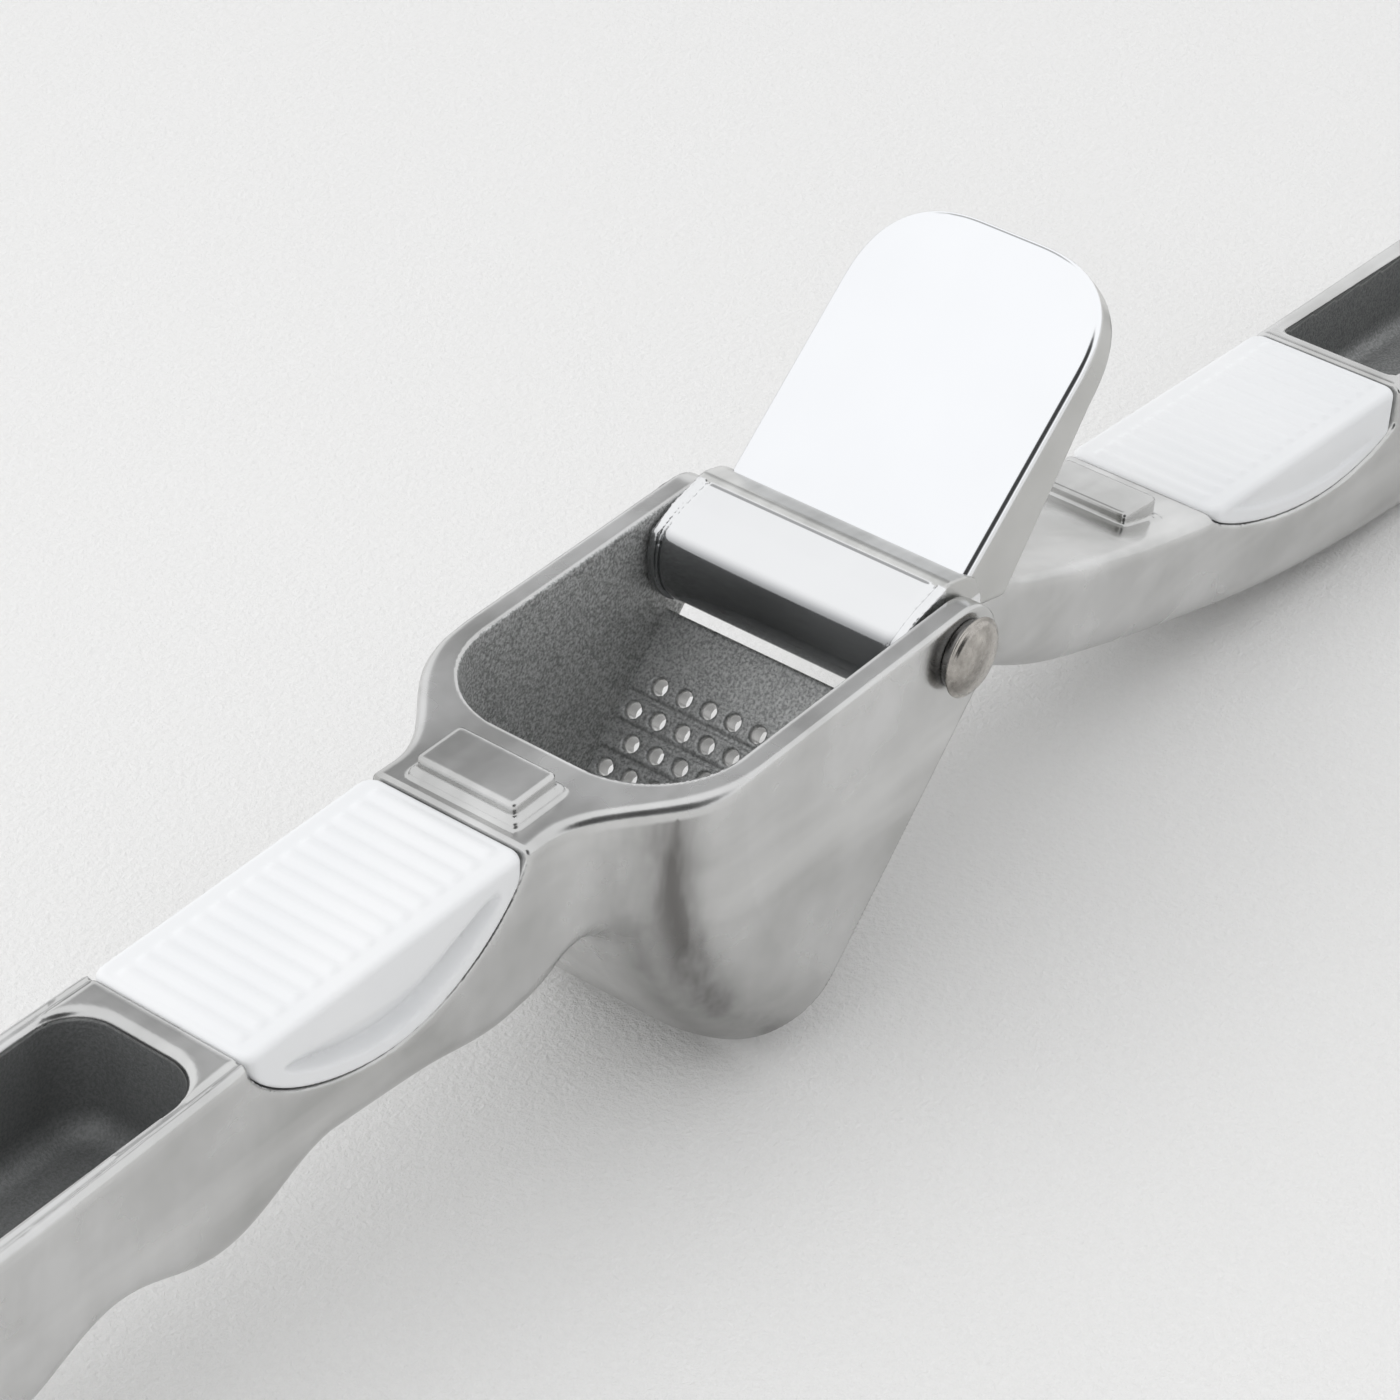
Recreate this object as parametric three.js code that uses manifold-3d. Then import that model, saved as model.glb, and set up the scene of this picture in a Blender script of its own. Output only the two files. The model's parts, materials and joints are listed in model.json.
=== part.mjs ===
// Garlic press: a hopper arm and a lever arm, cast in light alloy and hinged on one riveted pin.
//
// Everything is drawn in the press frame: the hinge axis is the Y axis, +X runs out along the
// lever, -X runs along the hopper's handle and +Z is up, out of the open hopper. A last turn and
// shift set the opened press down on the table plane Z = 0. All sizes are in millimetres.

import * as THREE from 'three';
import { mergeVertices } from 'three/addons/utils/BufferGeometryUtils.js';
import Module from 'manifold-3d';

const wasm = await Module();
wasm.setup();

// ---------------------------------------------------------------- driving dimensions
const REST_TILT = 3.1;            // degrees, how far the rim rises towards the hinge at rest
const GAP = 0.3;                  // fitting gap between neighbouring pieces

const CHEEK_OUT = 17;             // half width of the hopper, outside
const CHEEK_IN = 14.6;            // half width of the hopper, inside
const HOPPER_R_OUT = 42.1;        // end wall, outer radius about the hinge
const HOPPER_R_IN = 39.3;         // end wall, inner radius about the hinge
const HOPPER_CORNER_OUT = 10.6;
const HOPPER_CORNER_IN = 10;
const RIM_Z = 4.4;                // top of the rim and of the handle
const NOSE_R = 5.2;               // round end of each cheek at the hinge

const SIEVE_ANGLE = 224.8;        // direction of the perforated wall, degrees from +X
const SIEVE_IN = 3.35;            // offset of its inner face from the hinge axis
const SIEVE_BACK = 5.95;          // offset of its outer face
const SIEVE_TOP = 7.64;           // where it starts, measured from the hinge
const HOLE_R = 0.88;
const HOLE_PITCH = 2.914;
const HOLE_ROWS = 8;
const FIRST_ROW = 14.64;
const ROW_PITCH = 2.989;
const GROOVE_WIDTH = 0.7;
const GROOVE_DEPTH = 0.45;

const HANDLE_END = -158;          // tip of the hopper's handle
const FINGER = { firstHollow: -75.5, pitch: 26, level: -11.2, wave: 3.5 };
const POCKET = { from: -88.3, to: -146, half: 7.6, corner: 4.4, floor: -8.2 };

const TAB = { half: 5.5, length: 5.9, lipHalf: 6.1, lipLength: 7.0, lipHeight: 0.6 };
const HANDLE_TAB = { x: -45.9, height: 2.0 };
const LEVER_TAB = { along: -10.2, lift: 0.55, height: 2.7, tilt: 3.5 };

const INSERT_HANDLE = { from: -50.9, length: 34.5, half: 8.9 };
const INSERT_LEVER = { from: 55.6, length: 35.9, half: 9.1 };
const INSERT_SKIN = 2.6;          // thickness over the metal web that the insert straddles
const WEB_HALF = 4.6;             // half width of that web
const RIB_COUNT = 15;
const RIB_HEIGHT = 0.35;
const RIB_HALF = 6.9;

const BARREL_R = 6.65;
const BARREL_HALF = 13.9;
const EAR_R = 6.9;
const EAR_HALF = 14.25;

const TILE_ANGLE = 38.8;          // direction of the piston tile at rest, degrees from +X
const TILE = {
  half: 13.7,
  reach: 38.1,
  corner: 10,
  front: 0.3,
  backRoot: -8.6,
  backMiddle: -5,
  backTip: -3.4,
};

const LEVER_SLOPE = -4.6;         // degrees, the lever's straight top at rest
const LEVER_TOP = { x: 57, z: -18.1 };
const LEVER_END = 152;
const SLOT = { from: 93.4, to: 142, half: 7.1, corner: 1.2, floor: 9.5 };

const PIN_R = 2.1;
const HEAD = { rimR: 3.95, rimHeight: 0.2, domeR: 3.6, domeFrom: 0.55, height: 1.2 };
const FAR_HEAD = { rimR: 3.0, rimHeight: 0.2, domeR: 2.9, domeFrom: 0.25, height: 0.85 };
const WASHER = { inner: 2.4, outer: 3.4, near: 0.4, far: 0.3 };
const HEAD_SEAT = CHEEK_OUT + 2 * GAP + WASHER.near;
const FAR_SEAT = CHEEK_OUT + 2 * GAP + WASHER.far;
const CAP_GRIP = 0.55;            // how deep the hollow in the far head is

// ---------------------------------------------------------------- materials
const alloy = () => new THREE.MeshStandardMaterial({ color: 0xb4b6b6, roughness: 0.38, metalness: 1 });
const steel = () => new THREE.MeshStandardMaterial({ color: 0xbcb8b2, roughness: 0.3, metalness: 1 });
const whitePlastic = () => new THREE.MeshStandardMaterial({ color: 0xf1f2f3, roughness: 0.45, metalness: 0 });

// ---------------------------------------------------------------- solids
const rad = THREE.MathUtils.degToRad;

function closedBody(positions, triangles) {
  return new wasm.Manifold(new wasm.Mesh({
    numProp: 3,
    vertProperties: new Float32Array(positions),
    triVerts: new Uint32Array(triangles),
  }));
}

// a three.js geometry as a closed body that can be joined and cut
function solid(geometry) {
  const bare = geometry.clone();
  bare.deleteAttribute('normal');
  bare.deleteAttribute('uv');
  const merged = mergeVertices(bare, 1e-4);
  const index = merged.index.array;
  const kept = [];
  for (let i = 0; i < index.length; i += 3) {
    const [a, b, c] = [index[i], index[i + 1], index[i + 2]];
    if (a !== b && b !== c && c !== a) kept.push(a, b, c);
  }
  return closedBody(merged.attributes.position.array, kept);
}

function toGeometry(body) {
  const raw = body.getMesh();
  const geometry = new THREE.BufferGeometry();
  geometry.setAttribute('position', new THREE.BufferAttribute(new Float32Array(raw.vertProperties), 3));
  geometry.setIndex(new THREE.BufferAttribute(new Uint32Array(raw.triVerts), 1));
  return geometry;
}

// the same body turned about Z, then about Y (degrees), then shifted
function placed(body, { turnZ = 0, turnY = 0, x = 0, y = 0, z = 0 }) {
  const geometry = toGeometry(body);
  geometry.rotateZ(rad(turnZ));
  geometry.rotateY(rad(turnY));
  geometry.translate(x, y, z);
  return closedBody(geometry.attributes.position.array, geometry.index.array);
}

function namedMesh(name, body, material) {
  const geometry = toGeometry(body);
  geometry.computeVertexNormals();
  const mesh = new THREE.Mesh(geometry, material);
  mesh.name = name;
  return mesh;
}

// a shape drawn in X and Z, extruded from -half to +half along Y
function sideExtrusion(shape, half, curveSteps = 8) {
  const geometry = new THREE.ExtrudeGeometry(shape, {
    depth: 2 * half,
    curveSegments: curveSteps,
    bevelEnabled: false,
  });
  geometry.translate(0, 0, -half);
  geometry.rotateX(Math.PI / 2);
  return geometry;
}

// a shape drawn in X and Y, extruded from z0 to z1
function planExtrusion(shape, z0, z1, curveSteps = 6) {
  const geometry = new THREE.ExtrudeGeometry(shape, {
    depth: z1 - z0,
    curveSegments: curveSteps,
    bevelEnabled: false,
  });
  geometry.translate(0, 0, z0);
  return geometry;
}

function polygon(points) {
  return new THREE.Shape(points.map(([x, z]) => new THREE.Vector2(x, z)));
}

function roundedBox(x0, x1, half, corner) {
  const shape = new THREE.Shape();
  shape.moveTo(x0 + corner, -half);
  shape.lineTo(x1 - corner, -half);
  shape.absarc(x1 - corner, -half + corner, corner, -Math.PI / 2, 0);
  shape.lineTo(x1, half - corner);
  shape.absarc(x1 - corner, half - corner, corner, 0, Math.PI / 2);
  shape.lineTo(x0 + corner, half);
  shape.absarc(x0 + corner, half - corner, corner, Math.PI / 2, Math.PI);
  shape.lineTo(x0, -half + corner);
  shape.absarc(x0 + corner, -half + corner, corner, Math.PI, 1.5 * Math.PI);
  return shape;
}

function cylinderY(radius, y0, y1, steps = 28) {
  const geometry = new THREE.CylinderGeometry(radius, radius, y1 - y0, steps);
  geometry.translate(0, (y0 + y1) / 2, 0);
  return solid(geometry);
}

// a disc about the hinge axis whose two rims are rounded, the form that both hopper walls follow
function roundedDisc(radius, half, corner, steps = 112) {
  const profile = [new THREE.Vector2(0, -half)];
  const turns = 6;
  for (const [sign, start] of [[-1, -Math.PI / 2], [1, 0]]) {
    for (let i = 0; i <= turns; i++) {
      const angle = start + (i / turns) * (Math.PI / 2);
      const r = radius - corner + corner * Math.cos(angle);
      profile.push(new THREE.Vector2(r, sign * (half - corner) + corner * Math.sin(angle)));
    }
  }
  profile.push(new THREE.Vector2(0, half));
  return solid(new THREE.LatheGeometry(profile, steps));
}

// a smooth function of x through a few [x, value] points
function curveThrough(points) {
  const sorted = [...points].sort((p, q) => p[0] - q[0]);
  const curve = new THREE.CubicInterpolant(sorted.map((p) => p[0]), sorted.map((p) => p[1]), 1);
  return (x) => curve.evaluate(x)[0];
}

// an arm along X: a closed tube whose section is a box with rounded edges. half(x), top(x) and
// bottom(x) give the section at each station; the tube starts as a plain closed cylinder.
function loftedArm({ stations, half, top, bottom, topEdge, bottomEdge, cornerSteps = 3 }) {
  const around = 4 * (cornerSteps + 1);
  const rows = stations.length - 1;
  const geometry = new THREE.CylinderGeometry(1, 1, 1, around, rows);
  const position = geometry.attributes.position;
  for (let i = 0; i < position.count; i++) {
    const x = stations[Math.round((position.getY(i) + 0.5) * rows)];
    const [up, down] = [top(x), bottom(x)];
    if (Math.hypot(position.getX(i), position.getZ(i)) < 0.5) {
      position.setXYZ(i, x, 0, (up + down) / 2);
      continue;
    }
    const turn = Math.atan2(position.getX(i), position.getZ(i)) / (2 * Math.PI);
    const index = (Math.round(turn * around) + around) % around;
    const corner = Math.floor(index / (cornerSteps + 1));
    const step = index % (cornerSteps + 1);
    const angle = (corner + step / cornerSteps) * (Math.PI / 2);
    const upper = corner < 2;
    const edge = Math.min(upper ? topEdge : bottomEdge, half(x) * 0.9, (up - down) * 0.45);
    const centreY = (corner === 0 || corner === 3 ? 1 : -1) * (half(x) - edge);
    const centreZ = upper ? up - edge : down + edge;
    position.setXYZ(i, x, centreY + edge * Math.cos(angle), centreZ + edge * Math.sin(angle));
  }
  return solid(geometry);
}

const smooth = (t) => t * t * (3 - 2 * t);
const between = (x, x0, x1) => THREE.MathUtils.clamp((x - x0) / (x1 - x0), 0, 1);

// a point given along the sieve wall (away from the hinge) and outwards through it
function sievePoint(along, out) {
  const a = rad(SIEVE_ANGLE);
  return [along * Math.cos(a) - out * Math.sin(a), along * Math.sin(a) + out * Math.cos(a)];
}

// ---------------------------------------------------------------- ribbed inserts
// side view of an insert: flat on top, a skewed D below. Its x runs away from the hinge, z is
// counted from the arm's top. Each curve gives two Bezier handles and the point they lead to.
const HANDLE_D = {
  start: -1,
  down: [[1.5, -6.5], [9, -10], [16.5, -10]],
  up: [[23, -10], [32.5, -6], [34.5, -1]],
};
const LEVER_D = {
  start: -0.8,
  down: [[3, -3.2], [14, -7.15], [23.5, -7.15]],
  up: [[28, -7.15], [33, -6.2], [35.9, -4.5]],
};

function insertOutline(curve, gap) {
  const shape = new THREE.Shape();
  const [p1, p2, low] = curve.down;
  const [p3, p4, end] = curve.up;
  shape.moveTo(-gap, 3);
  shape.lineTo(-gap, curve.start);
  shape.bezierCurveTo(p1[0] - gap / 2, p1[1] - gap, p2[0], p2[1] - gap, low[0], low[1] - gap);
  shape.bezierCurveTo(p3[0], p3[1] - gap, p4[0] + gap / 2, p4[1] - gap, end[0] + gap, end[1] - gap / 2);
  shape.lineTo(end[0] + gap, 3);
  shape.closePath();
  return shape;
}

function insertSeat(spec, curve) {
  const cut = solid(sideExtrusion(insertOutline(curve, GAP), 14, 7));
  const web = new THREE.BoxGeometry(spec.length + 2, 2 * WEB_HALF, 20);
  web.translate(spec.length / 2, 0, -10 - INSERT_SKIN - GAP);
  return cut.subtract(solid(web));
}

function ribbedInsert(spec, curve) {
  const block = solid(sideExtrusion(insertOutline(curve, 0), spec.half, 7));
  const above = new THREE.BoxGeometry(spec.length + 4, 30, 10);
  above.translate(spec.length / 2, 0, 5);
  const channel = new THREE.BoxGeometry(spec.length + 4, 2 * (WEB_HALF + GAP), 20);
  channel.translate(spec.length / 2, 0, -10 - INSERT_SKIN);
  let body = block.subtract(solid(above)).subtract(solid(channel));
  const pitch = (spec.length - 2) / RIB_COUNT;
  for (let i = 0; i < RIB_COUNT; i++) {
    const rib = new THREE.BoxGeometry(pitch * 0.52, 2 * RIB_HALF, 2 * RIB_HEIGHT);
    rib.translate(1 + pitch * (i + 0.5), 0, 0);
    body = body.add(solid(rib));
  }
  return body;
}

// the handle runs the other way from the hinge, so its insert is turned end for end
const onHandle = (body) => placed(body, { turnZ: 180, x: INSERT_HANDLE.from, z: RIM_Z });

const onLever = (body) => placed(body, {
  turnY: -LEVER_SLOPE,
  x: INSERT_LEVER.from,
  z: leverTopZ(INSERT_LEVER.from),
});

// ---------------------------------------------------------------- stop tabs
function stopTab(height) {
  const lip = roundedBox(-TAB.lipLength / 2, TAB.lipLength / 2, TAB.lipHalf, 0.6);
  const block = roundedBox(-TAB.length / 2, TAB.length / 2, TAB.half, 0.5);
  return solid(planExtrusion(lip, -1, TAB.lipHeight, 2)).add(solid(planExtrusion(block, -1, height, 2)));
}

// ---------------------------------------------------------------- hopper arm
function hopperShell() {
  const noseZ = RIM_Z - NOSE_R;
  const noseX = (SIEVE_BACK - NOSE_R - noseZ * Math.cos(rad(SIEVE_ANGLE))) / -Math.sin(rad(SIEVE_ANGLE));
  const wedge = new THREE.Shape();
  wedge.moveTo(-60, RIM_Z);
  wedge.lineTo(noseX, RIM_Z);
  wedge.absarc(noseX, noseZ, NOSE_R, Math.PI / 2, rad(SIEVE_ANGLE - 270), true);
  wedge.lineTo(...sievePoint(70, SIEVE_BACK));
  wedge.lineTo(-60, -60);
  wedge.closePath();
  const outer = roundedDisc(HOPPER_R_OUT, CHEEK_OUT, HOPPER_CORNER_OUT);
  return outer.intersect(solid(sideExtrusion(wedge, CHEEK_OUT + 1, 8)));
}

function hopperCavity() {
  const outline = polygon([
    sievePoint(80, SIEVE_IN),
    sievePoint(SIEVE_TOP, SIEVE_IN),
    sievePoint(SIEVE_TOP, 14),
    sievePoint(-40, 14),
    [40, 60],
    [-60, 60],
    [-90, 0],
  ]);
  const inner = roundedDisc(HOPPER_R_IN, CHEEK_IN, HOPPER_CORNER_IN);
  return inner.intersect(solid(sideExtrusion(outline, CHEEK_IN + 1)));
}

// rows of holes, every second row shifted by half a pitch, each row only as wide as the wall there
function sieveHoles() {
  let holes = null;
  for (let row = 0; row < HOLE_ROWS; row++) {
    const along = FIRST_ROW + row * ROW_PITCH;
    const past = Math.max(0, along - (HOPPER_R_IN - HOPPER_CORNER_IN));
    const reach = CHEEK_IN - HOPPER_CORNER_IN + Math.sqrt(HOPPER_CORNER_IN ** 2 - past ** 2);
    const shift = row % 2 === 0 ? 0 : 0.5;
    for (let i = -5; i <= 4; i++) {
      const y = (i + shift) * HOLE_PITCH;
      if (Math.abs(y) + HOLE_R + 0.4 > reach) continue;
      const hole = new THREE.CylinderGeometry(HOLE_R, HOLE_R, 8, 10);
      hole.rotateX(Math.PI / 2);
      hole.rotateY(-rad(SIEVE_ANGLE));
      const [x, z] = sievePoint(along, (SIEVE_IN + SIEVE_BACK) / 2);
      hole.translate(x, y, z);
      holes = holes ? holes.add(solid(hole)) : solid(hole);
    }
  }
  return holes;
}

function sieveGrooves() {
  let grooves = null;
  for (let row = 0; row < HOLE_ROWS - 1; row++) {
    const along = FIRST_ROW + (row + 0.5) * ROW_PITCH;
    const outline = polygon([
      sievePoint(along - GROOVE_WIDTH / 2, SIEVE_IN - 0.3),
      sievePoint(along + GROOVE_WIDTH / 2, SIEVE_IN - 0.3),
      sievePoint(along, SIEVE_IN + GROOVE_DEPTH),
    ]);
    const groove = solid(sideExtrusion(outline, CHEEK_IN - 0.2));
    grooves = grooves ? grooves.add(groove) : groove;
  }
  return grooves;
}

// 1 along an arm, falling in a quarter ellipse to one half at its tip
function roundEnd(x, from, to) {
  return Math.sqrt(1 - 0.75 * between(x, from, to) ** 2);
}

// half width of the handle seen from above: a fillet out of the hopper, then a slow flare
function handleHalf(x) {
  const neck = 1 - Math.sqrt(1 - (1 - between(x, -38, -48)) ** 2);
  const flare = 8.8 + 0.8 * smooth(between(x, -60, -115));
  return (flare + 7.6 * neck) * roundEnd(x, -146, HANDLE_END);
}

const handleNeck = curveThrough([
  [FINGER.firstHollow, FINGER.level], [-64, -12.4], [-53, -13.9], [-47.5, -12.7], [-43.5, -9.8], [-39.5, -7.6],
]);

// underside of the handle: a neck under the hopper, then a wave that the fingers lie in
function handleUnder(x) {
  if (x > FINGER.firstHollow) return handleNeck(x);
  const phase = (2 * Math.PI * (x - FINGER.firstHollow)) / FINGER.pitch;
  return FINGER.level - FINGER.wave * (1 - Math.cos(phase)) / 2;
}

function handleBlank() {
  const stations = [-39.6, -40.8, -42, -43.3, -44.7, -46.2, -48, -51, -55, -59, -64, -70];
  for (let x = FINGER.firstHollow; x > -147; x -= FINGER.pitch / 8) stations.push(x);
  stations.push(-150, -153, -155.4, -157.2, HANDLE_END);
  const middle = (RIM_Z + FINGER.level) / 2;
  const closing = (x) => roundEnd(x, -147, HANDLE_END);
  return loftedArm({
    stations: stations.reverse(),
    half: handleHalf,
    top: (x) => middle + (RIM_Z - middle) * closing(x),
    bottom: (x) => middle + (handleUnder(x) - middle) * closing(x),
    topEdge: 0.8,
    bottomEdge: 3.2,
  });
}

function hopperArm() {
  const pocketPlan = roundedBox(POCKET.to, POCKET.from, POCKET.half, POCKET.corner);
  const pocket = planExtrusion(pocketPlan, POCKET.floor, RIM_Z + 5, 4);
  let arm = hopperShell().add(handleBlank());
  arm = arm.add(placed(stopTab(HANDLE_TAB.height), { x: HANDLE_TAB.x, z: RIM_Z }));
  arm = arm.subtract(hopperCavity()).subtract(solid(pocket));
  arm = arm.subtract(onHandle(insertSeat(INSERT_HANDLE, HANDLE_D)));
  arm = arm.subtract(sieveGrooves()).subtract(sieveHoles());
  return arm.subtract(cylinderY(PIN_R + GAP, -CHEEK_OUT - 1, CHEEK_OUT + 1, 20));
}

// ---------------------------------------------------------------- lever arm
function leverTopZ(x) {
  return LEVER_TOP.z + Math.tan(rad(LEVER_SLOPE)) * (x - LEVER_TOP.x);
}

// half width of the lever seen from above: full width at the hinge, narrowing to the handle
function leverHalf(x) {
  const taper = 13.6 - 4.4 * smooth(between(x, 4, 58));
  const flare = 0.5 * smooth(between(x, 92, 130));
  return (taper + flare) * roundEnd(x, 139, LEVER_END);
}

const leverShoulder = curveThrough([
  [1, -1], [8, 1.6], [11.5, -0.1], [16, -2.5], [21, -4.9], [31, -9.5], [41.5, -13.9], [46, -15.5],
  [50, -16.8], [54, leverTopZ(54) - 0.1], [60, leverTopZ(60)],
]);
const leverBelly = curveThrough([
  [1, -6.3], [5.5, -7.6], [11, -10.9], [21, -16.9], [33, -22.7], [45, -27.8], [56, -31.7], [76, -36.8],
  [97, -39.9], [110, -40.8], [126, -40.4], [LEVER_END, -37],
]);

function leverBlank() {
  const stations = [1, 4.5, 8, 11.5, 16, 21, 26, 31, 36, 41, 46, 50, 54, 60, 68, 76, 84, 92, 99, 106, 113, 120];
  stations.push(127, 133, 139, 143, 146.5, 149, 151, LEVER_END);
  const top = (x) => (x < 60 ? leverShoulder(x) : leverTopZ(x));
  const closing = (x) => roundEnd(x, 139, LEVER_END);
  const middle = (x) => (top(x) + leverBelly(x)) / 2;
  return loftedArm({
    stations,
    half: leverHalf,
    top: (x) => middle(x) + (top(x) - middle(x)) * closing(x),
    bottom: (x) => middle(x) + (leverBelly(x) - middle(x)) * closing(x),
    topEdge: 1.2,
    bottomEdge: 4.2,
  });
}

// the barrel between the cheeks: round, with a flat polished heel facing up into the hopper
function barrel() {
  const shape = new THREE.Shape();
  shape.moveTo(6.1, 3.6);
  shape.lineTo(4.2, 4.9);
  shape.lineTo(1.1, 5.75);
  shape.lineTo(0.75, 5.35);
  shape.quadraticCurveTo(-2.6, 4.75, -5.0, 3.55);
  shape.quadraticCurveTo(-6.2, 2.9, -6.5, 1.4);
  shape.absarc(0, 0, BARREL_R, Math.PI - 0.21, 2 * Math.PI - 0.3, false);
  shape.closePath();
  let body = solid(sideExtrusion(shape, BARREL_HALF, 16));
  for (const side of [-1, 1]) {
    const inner = side * (BARREL_HALF - 0.4);
    body = body.add(cylinderY(EAR_R, Math.min(inner, side * EAR_HALF), Math.max(inner, side * EAR_HALF), 36));
  }
  return body;
}

// the long piston tile, drawn flat (along X, face up) and then swung up about the hinge
function pistonTile() {
  const plan = new THREE.Shape();
  const tip = TILE.reach;
  plan.moveTo(2, -TILE.half);
  plan.lineTo(tip - TILE.corner - 0.5, -TILE.half);
  plan.bezierCurveTo(tip - 4, -TILE.half, tip - 0.9, -TILE.half + 4.5, tip - 0.4, -5);
  plan.quadraticCurveTo(tip + 0.1, 0, tip - 0.4, 5);
  plan.bezierCurveTo(tip - 0.9, TILE.half - 4.5, tip - 4, TILE.half, tip - TILE.corner - 0.5, TILE.half);
  plan.lineTo(2, TILE.half);
  plan.closePath();
  const slab = solid(planExtrusion(plan, -12, TILE.front, 7));
  const wedge = polygon([
    [3, -2],
    [8, TILE.backRoot],
    [tip * 0.7, TILE.backMiddle],
    [tip + 2, TILE.backTip],
    [tip + 2, TILE.front + 1],
    [3, TILE.front + 1],
  ]);
  return placed(slab.intersect(solid(sideExtrusion(wedge, 20))), { turnY: -TILE_ANGLE });
}

function leverArm() {
  const slotX = SLOT.from - LEVER_TOP.x;
  const slotShape = roundedBox(slotX, SLOT.to - LEVER_TOP.x, SLOT.half, SLOT.corner);
  const slot = solid(planExtrusion(slotShape, -SLOT.floor, 5, 3));
  const level = placed(stopTab(LEVER_TAB.height), { x: LEVER_TAB.along, z: LEVER_TAB.lift });
  const tab = placed(level, { turnY: LEVER_TAB.tilt });
  const onTop = (body) => placed(body, { turnY: -LEVER_SLOPE, x: LEVER_TOP.x, z: LEVER_TOP.z });
  let arm = leverBlank().add(barrel()).add(pistonTile());
  arm = arm.add(onTop(tab));
  arm = arm.subtract(onTop(slot));
  arm = arm.subtract(onLever(insertSeat(INSERT_LEVER, LEVER_D)));
  return arm.subtract(cylinderY(PIN_R + GAP, -20, 20, 20));
}

// ---------------------------------------------------------------- hinge pin
// a rivet head turned about Y: its flat underside at y = 0, its low dome towards -Y
function headSolid(head) {
  const profile = [];
  const steps = 6;
  for (let i = steps; i >= 0; i--) {
    const angle = (i / steps) * (Math.PI / 2);
    const rise = (head.height - head.domeFrom) * Math.sin(angle);
    profile.push(new THREE.Vector2(head.domeR * Math.cos(angle), -head.domeFrom - rise));
  }
  profile.push(new THREE.Vector2(head.rimR, -head.rimHeight));
  profile.push(new THREE.Vector2(head.rimR, 0));
  profile.push(new THREE.Vector2(0, 0));
  return solid(new THREE.LatheGeometry(profile, 36));
}

function pivotPin() {
  const head = placed(headSolid(HEAD), { y: -HEAD_SEAT });
  return head.add(cylinderY(PIN_R, -HEAD_SEAT - 0.2, FAR_SEAT + CAP_GRIP - GAP, 20));
}

// the riveted far end: smaller and flatter than the near head
function pinCap() {
  const cap = placed(headSolid(FAR_HEAD), { turnZ: 180, y: FAR_SEAT });
  return cap.subtract(cylinderY(PIN_R + GAP, 0, FAR_SEAT + CAP_GRIP, 20));
}

function washer(side) {
  const near = CHEEK_OUT + GAP;
  const thickness = side < 0 ? WASHER.near : WASHER.far;
  const y0 = side < 0 ? -near - thickness : near;
  const ring = cylinderY(WASHER.outer, y0, y0 + thickness, 28);
  return ring.subtract(cylinderY(WASHER.inner, y0 - 1, y0 + thickness + 1, 20));
}

// ---------------------------------------------------------------- assembly
const hopperSide = new THREE.Group();
hopperSide.add(namedMesh('hopper_arm', hopperArm(), alloy()));
hopperSide.add(namedMesh('pivot_pin', pivotPin(), steel()));
hopperSide.add(namedMesh('pin_cap', pinCap(), steel()));
hopperSide.add(namedMesh('near_washer', washer(-1), steel()));
hopperSide.add(namedMesh('far_washer', washer(1), steel()));

const handleInsert = namedMesh('handle_insert', ribbedInsert(INSERT_HANDLE, HANDLE_D), whitePlastic());
handleInsert.position.set(INSERT_HANDLE.from, 0, RIM_Z);
handleInsert.rotation.z = Math.PI;
hopperSide.add(handleInsert);

const leverInsert = namedMesh('lever_insert', ribbedInsert(INSERT_LEVER, LEVER_D), whitePlastic());
leverInsert.position.set(INSERT_LEVER.from, 0, leverTopZ(INSERT_LEVER.from));
leverInsert.rotation.y = -rad(LEVER_SLOPE);

const leverSide = new THREE.Group();
leverSide.add(namedMesh('lever_arm', leverArm(), alloy()));
leverSide.add(leverInsert);

const press = new THREE.Group();
press.add(hopperSide, leverSide);
press.rotation.y = -rad(REST_TILT);
const garlicPress = new THREE.Group();
garlicPress.add(press);
garlicPress.updateMatrixWorld(true);
const box = new THREE.Box3().setFromObject(garlicPress, true);
press.position.set(-(box.min.x + box.max.x) / 2, -(box.min.y + box.max.y) / 2, -box.min.z);
garlicPress.updateMatrixWorld(true);

export default garlicPress;
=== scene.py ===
"""Garlic press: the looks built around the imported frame.

Each casting is described as a solid field (negative inside) in the press frame: millimetres, the
hinge axis is Y, -X runs along the hopper's handle and +Z is up out of the hopper. A surface net
turns the field into a mesh, whose points are then pulled exactly onto the surface.
"""

import json
import math

import bpy
import numpy as np
from mathutils import Matrix, Vector


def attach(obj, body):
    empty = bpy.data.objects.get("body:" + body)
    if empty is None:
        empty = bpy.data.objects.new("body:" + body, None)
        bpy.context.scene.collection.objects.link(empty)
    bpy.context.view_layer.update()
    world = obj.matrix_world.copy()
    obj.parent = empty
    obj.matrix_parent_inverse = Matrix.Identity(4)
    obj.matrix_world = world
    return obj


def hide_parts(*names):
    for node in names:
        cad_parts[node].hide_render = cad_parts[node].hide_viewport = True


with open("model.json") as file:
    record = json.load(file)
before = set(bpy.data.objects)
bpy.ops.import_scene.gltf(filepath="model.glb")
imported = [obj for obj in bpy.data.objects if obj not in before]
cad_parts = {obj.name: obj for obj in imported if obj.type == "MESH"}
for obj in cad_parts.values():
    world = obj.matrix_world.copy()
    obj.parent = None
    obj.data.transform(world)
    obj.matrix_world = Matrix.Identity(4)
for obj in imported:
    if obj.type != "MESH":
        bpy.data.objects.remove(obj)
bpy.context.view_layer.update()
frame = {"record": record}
HINGE = frame["record"]["behaviour"]["joints"][0]["pos_m"]

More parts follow.
